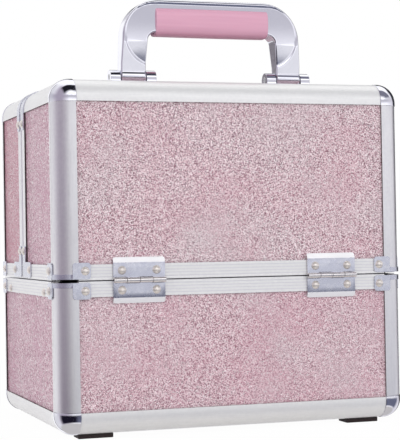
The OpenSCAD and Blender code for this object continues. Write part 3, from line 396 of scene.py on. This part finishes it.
def glitter_material(name, deep, fineness, rose):
    """Pink film packed with fine glitter, with painted glints on its flakes and broad patches of painted
    sheen; deep is how far it goes to the stronger pink.
    """
    material, tree, shader, vector = new_material(name, srgb(201, 172, 181), roughness=0.42)
    flakes = use_group(tree, FLAKES, vector, Density=fineness, Tilt=0.7)
    second = use_group(tree, FLAKES, vector, Density=0.7 * fineness, Tilt=0.5)
    tone = math_node(tree, "ADD", math_node(tree, "MULTIPLY", flakes["Tone"], 0.7),
                     math_node(tree, "MULTIPLY", second["Tone"], 0.3))
    # The flakes' tones run from near black to near white: partly their own random tone and partly painted
    # glint and shade.
    ramp = tree.nodes.new("ShaderNodeValToRGB")
    stops = ((0.0, srgb(44, 28, 36)), (0.26, srgb(112, 78, 90)), (0.42, srgb(190, 150, 162)),
             (0.58, srgb(224, 198, 206)), (0.74, srgb(255, 244, 247)))
    while len(ramp.color_ramp.elements) < len(stops):
        ramp.color_ramp.elements.new(0.5)
    for element, (place, colour) in zip(ramp.color_ramp.elements, stops):
        element.position = place
        element.color = colour
    feed(tree, tone, ramp.inputs["Fac"])
    # Broad random patches painted grey-silver: painted sheen, standing for the soft reflection of the lamp on
    # the film.
    painted_sheen = ranged(tree, noise(tree, vector, 14, 3), 0.5, 0.68, 0.0, 0.45)
    sheened_tone = mix_colours(tree, painted_sheen, ramp.outputs["Color"], srgb(206, 194, 199))
    rosy = ranged(tree, noise(tree, vector, 24, 3), 0.42, 0.66, deep, deep + 0.22)
    tinted = mix_colours(tree, rosy, sheened_tone, rose)
    # The brightest flakes are painted near white: painted glints.
    bright = math_node(tree, "GREATER_THAN", flakes["Spark"], 0.93)
    feed(tree, mix_colours(tree, bright, tinted, srgb(255, 248, 250)), shader.inputs["Base Color"])
    feed(tree, math_node(tree, "MULTIPLY", math_node(tree, "GREATER_THAN", flakes["Spark"], 0.7), 0.35),
         shader.inputs["Metallic"])
    feed(tree, ranged(tree, flakes["Spark"], 0, 1, 0.5, 0.26), shader.inputs["Roughness"])
    feed(tree, flakes["Normal"], shader.inputs["Normal"])
    shader.inputs["Specular IOR Level"].default_value = 0.2
    return material


def grip_material():
    """Smooth soft-touch pink plastic, slightly streaked along its length."""
    colour = srgb(219, 167, 189)
    material, tree, shader, vector = new_material("pink_grip_plastic", colour, roughness=0.36)
    streaks = noise(tree, scaled(tree, vector, (0.03, 1, 1)), 700, 2)
    tinted = mix_colours(tree, ranged(tree, streaks, 0.3, 0.7, 0, 0.5), colour, srgb(211, 155, 180))
    feed(tree, tinted, shader.inputs["Base Color"])
    smudge = use_group(tree, SMUDGES, vector, Scale=60.0)["Value"]
    feed(tree, ranged(tree, smudge, 0, 1, 0.32, 0.46), shader.inputs["Roughness"])
    shader.inputs["Subsurface Weight"].default_value = 0.08
    shader.inputs["Subsurface Radius"].default_value = (0.004, 0.002, 0.002)
    add_bump(tree, shader, noise(tree, vector, 1600, 3), 0.03 * MM, 0.3)
    return material


def dark_material(name, colour, light, grain, roughness, bump):
    """Dark rubber, flock or moulding: a broken tone and a fine grain."""
    material, tree, shader, vector = new_material(name, colour, roughness=roughness)
    spots = noise(tree, vector, grain, 4, 0.65)
    feed(tree, mix_colours(tree, ranged(tree, spots, 0.4, 0.75, 0, 0.6), colour, light),
         shader.inputs["Base Color"])
    dust = use_group(tree, SMUDGES, vector, Scale=35.0)["Value"]
    feed(tree, ranged(tree, dust, 0, 1, roughness - 0.08, roughness + 0.08), shader.inputs["Roughness"])
    add_bump(tree, shader, spots, bump, 0.6)
    return material


def lining_material():
    material = dark_material("black_flock", srgb(27, 27, 30), srgb(52, 52, 56), 2400, 0.9, 0.15 * MM)
    shader = material.node_tree.nodes["Principled BSDF"]
    shader.inputs["Sheen Weight"].default_value = 0.5
    shader.inputs["Sheen Roughness"].default_value = 0.4
    return material


ALUMINIUM_UPRIGHT = aluminium_material("anodised_upright", True)
ALUMINIUM_FLAT = aluminium_material("anodised_level", False)
ALUMINIUM_RIM = aluminium_material("anodised_ribbed", False, ribbed=True)
MIRROR_PLATE = plated_material("mirror_nickel", srgb(232, 232, 240), srgb(222, 222, 232), 0.06, 0.12)
# The hinge leaves' folded lips: a paler, more matt copy of the satin plate, a painted highlight for the light
# that the tilted lip catches.
PAINTED_LIT_LIP = plated_material("painted_highlight_lip", srgb(250, 249, 252), srgb(242, 240, 245), 0.4, 0.5,
                             metallic=0.4)
SATIN_PLATE = plated_material("satin_nickel", srgb(204, 206, 219), srgb(197, 199, 213), 0.24, 0.3)
KNUCKLE_PLATE = plated_material("knuckle_nickel", srgb(248, 244, 243), srgb(236, 231, 230), 0.16, 0.24, 0.1)
RIVET_PLATE = plated_material("rivet_nickel", srgb(240, 233, 227), srgb(224, 217, 211), 0.26, 0.34, 0.1,
                             metallic=0.6)
DARK_PIN = plated_material("dark_pin_steel", srgb(112, 104, 102), srgb(92, 86, 84), 0.3, 0.4, 0.1)
ZINC = plated_material("zinc_strip", srgb(188, 190, 194), srgb(160, 162, 166), 0.28, 0.42)
GLITTER = glitter_material("pink_glitter_film", 0.06, 2200, srgb(206, 150, 166))
BASE_GLITTER = glitter_material("pink_glitter_base", 0.2, 2200, srgb(204, 146, 164))
SIDE_GLITTER = glitter_material("pink_glitter_sides", 0.5, 1100, srgb(186, 136, 158))
BACK_GLITTER = glitter_material("pink_glitter_back", 0.62, 1300, srgb(184, 124, 142))
GRIP = grip_material()
RUBBER = dark_material("foot_rubber", srgb(44, 32, 32), srgb(66, 52, 50), 900, 0.7, 0.08 * MM)
MOULDING = dark_material("tray_moulding", srgb(38, 38, 41), srgb(58, 58, 62), 1500, 0.5, 0.06 * MM)
LINING = lining_material()
# The ends of the profiles' skins against the boards: a dark material as painted shade, for the shadow where a
# profile stands proud of a board.
PAINTED_SHADE_EDGE = dark_material("painted_shade_board_edge", srgb(58, 44, 46), srgb(80, 62, 64), 700, 0.6, 0.05 * MM)


# ---- Pieces ----

def packed_copy(node):
    """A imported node's mesh as a bmesh, merged, with its flat faces joined."""
    bm = bmesh.new()
    bm.from_mesh(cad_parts[node].data)
    bmesh.ops.remove_doubles(bm, verts=bm.verts, dist=WELD)
    join_flat_faces(bm)
    return bm


def join_flat_faces(bm):
    bmesh.ops.dissolve_limit(bm, angle_limit=math.radians(FLAT), verts=bm.verts, edges=bm.edges)


def convex_edges(bm, least_degrees):
    """Edges where the surface turns outwards by at least that much."""
    least = math.radians(least_degrees)
    return [edge for edge in bm.edges
            if len(edge.link_faces) == 2 and edge.calc_face_angle_signed(0) > least]


def soften(bm, edges, radius, segments=2):
    bmesh.ops.bevel(bm, geom=edges, offset=radius, offset_type="OFFSET", segments=segments, profile=0.5,
                    affect="EDGES", clamp_overlap=True, material=-1)


def add_piece(name, bm, material, body, node, smooth_degrees=38, others=()):
    """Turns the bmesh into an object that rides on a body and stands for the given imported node.

    Faces with a material index of 1 or more take the other materials."""
    mesh = bpy.data.meshes.new(name)
    bm.to_mesh(mesh)
    bm.free()
    for finish in (material, *others):
        mesh.materials.append(finish)
    for polygon in mesh.polygons:
        polygon.use_smooth = True
    mesh.set_sharp_from_angle(angle=math.radians(smooth_degrees))
    piece = bpy.data.objects.new(name, mesh)
    scene.collection.objects.link(piece)
    weighting = piece.modifiers.new("even_shading", "WEIGHTED_NORMAL")
    weighting.keep_sharp = True
    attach(piece, body)
    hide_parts(node)


def soft_edged(name, node, material, body, radius, segments=2):
    """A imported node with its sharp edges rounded."""
    bm = packed_copy(node)
    soften(bm, convex_edges(bm, SOLID_EDGE), radius, segments)
    add_piece(name, bm, material, body, node)


def profile(name, node, material, body, radius):
    """A packed profile with softened edges. The ends of its skin, against the boards, are painted dark:
    painted shade where the profile stands proud of a board.
    """
    bm = packed_copy(node)
    for face in bm.faces:
        lengths = sorted(edge.calc_length() for edge in face.edges)
        if len(lengths) == 4 and abs(lengths[0] - SKIN_T) < CLOSE and lengths[2] > SKIN_LENGTH:
            # These skin-end faces take the painted shade.
            face.material_index = 1
    open_edges = [edge for edge in convex_edges(bm, SOLID_EDGE)
                  if not any(face.material_index for face in edge.link_faces)]
    soften(bm, open_edges, radius)
    add_piece(name, bm, material, body, node, others=[PAINTED_SHADE_EDGE])


def hinge_leaves(name, node, body):
    """Leaves with bright knuckles and a lip painted paler as a painted highlight, whose outer corners are
    rounded.
    """
    bm = packed_copy(node)
    top = max(abs(vert.co.z - SPLIT_Z) for vert in bm.verts)
    corners = [edge for edge in convex_edges(bm, SHEET_CORNER)
               if all(abs(abs(vert.co.z - SPLIT_Z) - top) < CLOSE for vert in edge.verts)
               and abs(edge.verts[0].co.x - edge.verts[1].co.x) < CLOSE / 2]
    soften(bm, corners, 1.5 * MM, 4)
    for face in bm.faces:
        centre = face.calc_center_median()
        height = abs(centre.z - SPLIT_Z)
        # Faces above the lip's start take the painted highlight; the knuckles take their own plate.
        if height > LIP_FROM:
            face.material_index = 1
        elif height < KNUCKLE_R and abs(centre.y) > KNUCKLE_Y:
            face.material_index = 2
    soften(bm, convex_edges(bm, SHEET_EDGE), 0.2 * MM)
    add_piece(name, bm, SATIN_PLATE, body, node, others=[PAINTED_LIT_LIP, KNUCKLE_PLATE])


def sheet_fitting(name, node, material, body, corner_radius, radius):
    """A packed sheet-metal node: the corners of its sheet rounded in plan, then its sharp edges."""
    bm = packed_copy(node)
    corners = [edge for edge in convex_edges(bm, SHEET_CORNER)
               if abs(edge.calc_length() - STRAP_T) < 3 * CLOSE]
    soften(bm, corners, corner_radius, 5)
    join_flat_faces(bm)
    soften(bm, convex_edges(bm, SHEET_EDGE), radius)
    add_piece(name, bm, material, body, node)


def rolled_tube(around, along, place):
    """A grid rolled into a closed tube: place(u, v) gives a point in mm, u round the tube and v along it."""
    bm = bmesh.new()
    bmesh.ops.create_grid(bm, x_segments=around, y_segments=along, size=0.5)
    for vert in bm.verts:
        u = round((vert.co.x + 0.5) * around) % around
        v = round((vert.co.y + 0.5) * along)
        vert.co = Vector(place(u, v)) * MM
    bmesh.ops.remove_doubles(bm, verts=bm.verts, dist=WELD / 2)
    bmesh.ops.holes_fill(bm, edges=bm.edges)
    bmesh.ops.recalc_face_normals(bm, faces=bm.faces)
    return bm


def boards_linings_and_rivets():
    """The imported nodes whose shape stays, hinge and handle pins among them: they only take a material."""
    finishes = {GLITTER: [],
                BASE_GLITTER: ["base_floor", "base_front_panel", "base_back_panel"],
                SIDE_GLITTER: ["base_side_panels", "front_half_sides"],
                BACK_GLITTER: ["back_half_sides"],
                LINING: ["base_lining"],
                ZINC: ["handle_pins"],
                DARK_PIN: ["hinge_pins"],
                RIVET_PLATE: ["base_rivets", "arm_rivets"]}
    for half in ("front_half", "back_half"):
        finishes[GLITTER] += [half + "_panel", half + "_top"]
        finishes[LINING].append(half + "_lining")
        finishes[RIVET_PLATE].append(half + "_rivets")
    for material, nodes in finishes.items():
        for node in nodes:
            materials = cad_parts[node].data.materials
            for place in range(len(materials)):
                materials[place] = material


def profiles():
    """Anodised columns, edges, rims and trims."""
    edge = 0.3 * MM
    for body in ("base", "front_half", "back_half"):
        edges, rims = ("bottom_edges", "rim_strips") if body == "base" else ("edges", "rims")
        profile(body + "_column_profiles", body + "_columns", ALUMINIUM_UPRIGHT, body, edge)
        profile(body + "_edge_profiles", f"{body}_{edges}", ALUMINIUM_FLAT, body, edge)
        profile(body + "_ribbed_rims", f"{body}_{rims}", ALUMINIUM_RIM, body, 0.12 * MM)
        if body != "base":
            profile(body + "_split_trims", body + "_trims", ALUMINIUM_UPRIGHT, body, edge)


def fittings():
    """Plated caps, straps, brackets and hinge leaves."""
    for body in ("base", "front_half", "back_half"):
        caps = "base_corner_caps" if body == "base" else body + "_caps"
        soft_edged(body + "_mirror_caps", caps, MIRROR_PLATE, body, 0.3 * MM)
        sheet_fitting(body + "_corner_straps", body + "_straps", SATIN_PLATE, body, 2.2 * MM, 0.2 * MM)
        leaves = "hinge_base_leaves" if body == "base" else body + "_leaves"
        hinge_leaves(body + "_hinge_leaves", leaves, body)
        if body != "base":
            sheet_fitting(body + "_split_brackets", body + "_brackets", SATIN_PLATE, body, 2.8 * MM, 0.2 * MM)
    soft_edged("handle_bearing_lobes", "handle_bearings", MIRROR_PLATE, "front_half", 0.8 * MM, 3)
    soft_edged("latch_eared_plates", "latch_plates", SATIN_PLATE, "front_half", 0.25 * MM)
    soft_edged("latch_lock_boxes", "lock_bodies", SATIN_PLATE, "back_half", 0.6 * MM, 3)
    for side in ("left", "right"):
        soft_edged("hasp_flap_" + side, "latch_hasp_" + side, SATIN_PLATE, "hasp_" + side, 0.4 * MM)


def leg_x(start, z, corner_z):
    """The x of a leg's face at a height: upright at the axle, then leaning inwards to the corner."""
    return start - LEAN * max(0, min(1, (z - LEAN_FROM) / (corner_z - LEAN_FROM)))


def bow_stations():
    """The bow from its left foot to the middle: inner point, outer point (x outwards, z) and depth."""
    stations = []
    for turn in FOOT_TURNS:
        z = AXLE_Z - FOOT_R * math.cos(math.radians(turn))
        stations.append(((LEG_IN, z), (LEG_OUT, z), 2 * FOOT_R * math.sin(math.radians(turn))))
    for step in range(1, LEG_STEPS + 1):
        above = (IN_CORNER[1] - AXLE_Z) * step / LEG_STEPS
        z = AXLE_Z + above
        foot = 2 * math.sqrt(max(0, FOOT_R ** 2 - above ** 2))
        slim = WAIST_DEPTH + (BOW_DEPTH - WAIST_DEPTH) * step / LEG_STEPS
        stations.append(((leg_x(LEG_IN, z, IN_CORNER[1]), z), (leg_x(LEG_OUT, z, OUT_CORNER[1]), z),
                         max(foot, slim)))
    for turn in range(0, 91, CORNER_STEP):
        cos, sin = math.cos(math.radians(turn)), math.sin(math.radians(turn))
        inner, outer = [(x + r * cos, z + r * sin) for x, z, r in (IN_CORNER, OUT_CORNER)]
        stations.append((inner, outer, BOW_DEPTH))
    return stations


def bow_section(width, depth, near_r, far_r):
    """Points round a rounded rectangle: distance from its inner end and from its middle plane."""
    quarter = [(math.sin(math.radians(t)), math.cos(math.radians(t))) for t in (11, 22, 34, 45, 56, 68, 79)]
    face = width - near_r - far_r
    half = [(near_r + face * k / FACE_STEPS, -depth / 2) for k in range(FACE_STEPS + 1)]
    half += [(width - far_r + far_r * a, -depth / 2 + far_r - far_r * b) for a, b in quarter]
    half += [(width, -depth / 2 + far_r + (depth / 2 - far_r) * k / 2) for k in range(2)]
    half = [(near_r - near_r * a, -depth / 2 + near_r - near_r * b) for a, b in reversed(quarter)] + half
    half = [(0, (near_r - depth / 2) * k / 2) for k in (1, 2)] + half
    return half + [(width, 0)] + [(reach, -y) for reach, y in reversed(half)] + [(0, 0)]


def face_drop(x, z):
    """How far the bow's face lies back: a bulge in each corner, which ends in a fine step across the leg."""
    centre_x, centre_z, radius = BULGE
    distance = math.hypot(x - centre_x, z - centre_z)
    if x < centre_x and z > centre_z:
        distance = z - centre_z
    step = max(0, min(1, (radius - distance) / BULGE_STEP))
    return step * step * (3 - 2 * step) * (BULGE_BACK + BULGE_RISE * min(1, distance / radius) ** 2)


def handle_bow():
    """The bent metal arch, from one foot over the top to the other."""
    left = bow_stations()
    run = [(-1, station) for station in left] + [(1, station) for station in reversed(left)]
    around = len(bow_section(9, 9, 1, 1))

    def place(u, v):
        side, (inner, outer, depth) = run[v]
        width = math.dist(inner, outer)
        risen = max(0, min(1, (outer[1] - FAR_R_FROM) / FAR_R_RISE))
        near_r = min(NEAR_R, MOST_ROUNDING * depth)
        far_r = min(FAR_R + FAR_R_GROWTH * risen, MOST_ROUNDING * depth)
        reach, y = bow_section(width, depth, near_r, far_r)[u]
        share = reach / width
        x = inner[0] + (outer[0] - inner[0]) * share
        z = inner[1] + (outer[1] - inner[1]) * share
        if z > AXLE_Z + BULGE_FROM and abs(y) > depth / 2 - far_r:
            rest = far_r if reach > width - far_r else near_r
            y -= math.copysign(face_drop(x, z), y) * min(1, (abs(y) - depth / 2 + rest) / rest)
        return side * x, HANDLE_Y + y, z

    bow = rolled_tube(around, len(run) - 1, place)
    add_piece("handle_bow", bow, MIRROR_PLATE, "handle", "handle_arch", 40)


def handle_grip():
    """The soft sleeve: a rounded box in section, fullest at its middle and rounded off at its ends."""
    rings = len(GRIP_END_INSETS)
    full = GRIP_END_SHARES[-1]
    middle = GRIP_ALONG / 2

    def place(u, v):
        from_end = min(v, GRIP_ALONG - v)
        if from_end < rings:
            x = (-1 if v < middle else 1) * (GRIP_HALF - GRIP_END_INSETS[from_end])
            shrink = GRIP_END_SHARES[from_end]
        else:
            x = (GRIP_HALF - GRIP_END_INSETS[-1]) * (v - middle) / (middle - rings + 0.5)
            shrink = full + (1 - full) * math.sin(math.pi * v / GRIP_ALONG)
        turn = 2 * math.pi * u / GRIP_AROUND
        cos, sin = math.cos(turn), math.sin(turn)
        y = GRIP_DEPTH / 2 * math.copysign(abs(cos) ** GRIP_POWER, cos)
        z = (GRIP_TOP - GRIP_LOW) / 2 * math.copysign(abs(sin) ** GRIP_POWER, sin)
        return x, HANDLE_Y + shrink * y, (GRIP_TOP + GRIP_LOW) / 2 + shrink * z

    grip = rolled_tube(GRIP_AROUND, GRIP_ALONG, place)
    add_piece("handle_soft_grip", grip, GRIP, "handle", "handle_grip")


def feet():
    soft_edged("rubber_feet", "feet", RUBBER, "base", 0.8 * MM, 3)


def trays_and_arms():
    for half in ("front", "back"):
        for level in ("lower", "upper"):
            body = f"{half}_{level}_tray"
            soft_edged(body + "_moulding", body, MOULDING, body, 0.5 * MM)
        for kind in ("outer_arms", "inner_arms", "links"):
            body = f"{half}_{kind}"
            soft_edged(body + "_strips", body, ZINC, body, 0.2 * MM)


# ---- Studio ----

def floor():
    """A pale disc that the camera sees as nearly white, with the case's shadow on it."""
    bm = bmesh.new()
    bmesh.ops.create_circle(bm, cap_ends=True, segments=96, radius=0.62)
    mesh = bpy.data.meshes.new("studio_floor")
    bm.to_mesh(mesh)
    bm.free()
    disc = bpy.data.objects.new("studio_floor", mesh)
    scene.collection.objects.link(disc)
    material = bpy.data.materials.new("studio_floor_white")
    material.use_nodes = True
    tree = material.node_tree
    shader = tree.nodes["Principled BSDF"]
    shader.inputs["Base Color"].default_value = (0.9, 0.9, 0.9, 1)
    shader.inputs["Roughness"].default_value = 0.9
    glow = tree.nodes.new("ShaderNodeEmission")
    glow.inputs["Strength"].default_value = 1.0
    rays = tree.nodes.new("ShaderNodeLightPath")
    mixed = tree.nodes.new("ShaderNodeMixShader")
    feed(tree, math_node(tree, "MULTIPLY", rays.outputs["Is Camera Ray"], 0.98), mixed.inputs["Fac"])
    tree.links.new(shader.outputs[0], mixed.inputs[1])
    tree.links.new(glow.outputs[0], mixed.inputs[2])
    tree.links.new(mixed.outputs[0], tree.nodes["Material Output"].inputs["Surface"])
    mesh.materials.append(material)
    disc.visible_glossy = False


def room_light(tree, direction):
    """The room that shiny metal sees, as a colour for each direction.

    It is bright in front and duller behind, with a lid and a window, a black screen high in front, a
    violet-grey wall on the left, and a dark gap above a pale floor."""
    parts = tree.nodes.new("ShaderNodeSeparateXYZ")
    tree.links.new(direction, parts.inputs[0])
    across, along, height = parts.outputs["X"], parts.outputs["Y"], parts.outputs["Z"]

    def towards(aim, looked):
        """How far a direction points towards the aim: 1 is straight at it."""
        node = tree.nodes.new("ShaderNodeVectorMath")
        node.operation = "DOT_PRODUCT"
        tree.links.new(looked, node.inputs[0])
        node.inputs[1].default_value = Vector(aim).normalized()
        return node.outputs["Value"]

    level = tree.nodes.new("ShaderNodeCombineXYZ")
    tree.links.new(across, level.inputs[0])
    tree.links.new(along, level.inputs[1])
    compass = tree.nodes.new("ShaderNodeVectorMath")
    compass.operation = "NORMALIZE"
    tree.links.new(level.outputs[0], compass.inputs[0])

    def faces(part):
        """How far a direction's compass heading is that of a part of the room: 1 is the same heading."""
        aim = math.radians(HEADINGS[part])
        return towards((math.cos(aim), math.sin(aim), 0), compass.outputs["Vector"])

    def tone(part):
        return (*ROOM[part], 1)

    def both(first, second):
        return math_node(tree, "MULTIPLY", first, second)

    def slab(source, low, soft_low, high, soft_high):
        """1 between the two soft limits, fading to 0 at the outer ones."""
        return both(ranged(tree, source, low, soft_low), ranged(tree, source, high, soft_high))

    left = faces("left wall")
    gap = mix_colours(tree, ranged(tree, left, 0.1, 0.45), tone("gap"), tone("gap's left end"))
    gap_in_front = both(slab(height, -0.68, -0.6, -0.1, -0.125), ranged(tree, along, 0.2, -0.15))
    screen = mix_colours(tree, ranged(tree, across, 0.26, 0.38), tone("screen"), tone("screen's right end"))
    screen_high = both(both(ranged(tree, across, -0.66, -0.5), slab(along, -0.82, -0.62, -0.08, -0.14)),
                       ranged(tree, height, 0.3, 0.5))
    lid_over = both(both(ranged(tree, along, -0.1, -0.04), ranged(tree, height, 0.6, 0.7)),
                    ranged(tree, across, -0.5, -0.25))
    colour = tone("front")
    for factor, light in (
            (ranged(tree, along, -0.3, 0.5), tone("back")),
            (slab(height, -0.15, -0.1, 0.04, 0.0), tone("skirting")),
            (slab(height, 0.0, 0.18, 0.42, 0.3), tone("dado")),
            (ranged(tree, left, 0.55, 0.97), tone("left wall")),
            (ranged(tree, faces("right wall"), 0.6, 0.95, 0.0, 0.7), tone("right wall")),
            (ranged(tree, faces("window"), 0.978, 0.99), tone("window")),
            (ranged(tree, faces("window post"), 0.998, 0.9992), tone("window post")),
            (ranged(tree, towards(DOORWAY_AIM, direction), 0.78, 0.86), tone("doorway")),
            (ranged(tree, height, -0.62, -0.72), tone("floor")),
            (gap_in_front, gap),
            (screen_high, screen),
            (lid_over, tone("lid"))):
        colour = mix_colours(tree, factor, colour, light)
    return colour


def studio_world():
    """White to the camera, plain light to matt faces, and the drawn room to shiny metal."""
    world = bpy.data.worlds.new("studio")
    scene.world = world
    world.use_nodes = True
    world.cycles.sampling_method = "NONE"
    tree = world.node_tree
    tree.nodes.clear()
    output = tree.nodes.new("ShaderNodeOutputWorld")
    rays = tree.nodes.new("ShaderNodeLightPath")
    direction = tree.nodes.new("ShaderNodeTexCoord").outputs["Generated"]

    def background(colour, strength=1.0):
        node = tree.nodes.new("ShaderNodeBackground")
        feed(tree, colour, node.inputs["Color"])
        node.inputs["Strength"].default_value = strength
        return node.outputs[0]

    def switch(ray, otherwise, light):
        """One light for one kind of ray, and another for all the others."""
        node = tree.nodes.new("ShaderNodeMixShader")
        tree.links.new(rays.outputs[ray], node.inputs["Fac"])
        tree.links.new(otherwise, node.inputs[1])
        tree.links.new(light, node.inputs[2])
        return node.outputs[0]

    white = (1, 1, 1, 1)
    seen = switch("Is Glossy Ray", background(white, PLAIN_LIGHT), background(room_light(tree, direction)))
    tree.links.new(switch("Is Camera Ray", seen, background(white)), output.inputs["Surface"])


def softbox(name, place, aim, size, power):
    lamp = bpy.data.lights.new(name, "AREA")
    lamp.shape = "RECTANGLE"
    lamp.size, lamp.size_y = size
    lamp.energy = power
    holder = bpy.data.objects.new(name, lamp)
    scene.collection.objects.link(holder)
    holder.location = place
    holder.rotation_euler = (Vector(aim) - Vector(place)).to_track_quat("-Z", "Y").to_euler()
    holder.visible_glossy = False


def lights():
    softbox("key_front_right", (0.9, -1.5, 0.9), (0, 0, 0.13), (0.9, 0.9), 10)
    softbox("fill_left", (-1.6, -0.6, 0.6), (0, 0, 0.12), (0.9, 0.9), 9)


def camera():
    """The photograph's own view, worked out from the case's corners."""
    lens = bpy.data.cameras.new("photo_camera")
    lens.sensor_width = SENSOR_WIDTH
    lens.lens = FOCAL_PIXELS / PHOTO_PIXELS * SENSOR_WIDTH
    lens.clip_start = 0.05
    lens.clip_end = 50
    holder = bpy.data.objects.new("photo_camera", lens)
    scene.collection.objects.link(holder)
    holder.location = CAMERA_PLACE
    holder.rotation_euler = [math.radians(angle) for angle in CAMERA_TURN]
    scene.camera = holder


camera()
boards_linings_and_rivets()
profiles()
fittings()
handle_bow()
handle_grip()
feet()
trays_and_arms()
floor()
studio_world()
lights()
scene.view_settings.view_transform = "Standard"
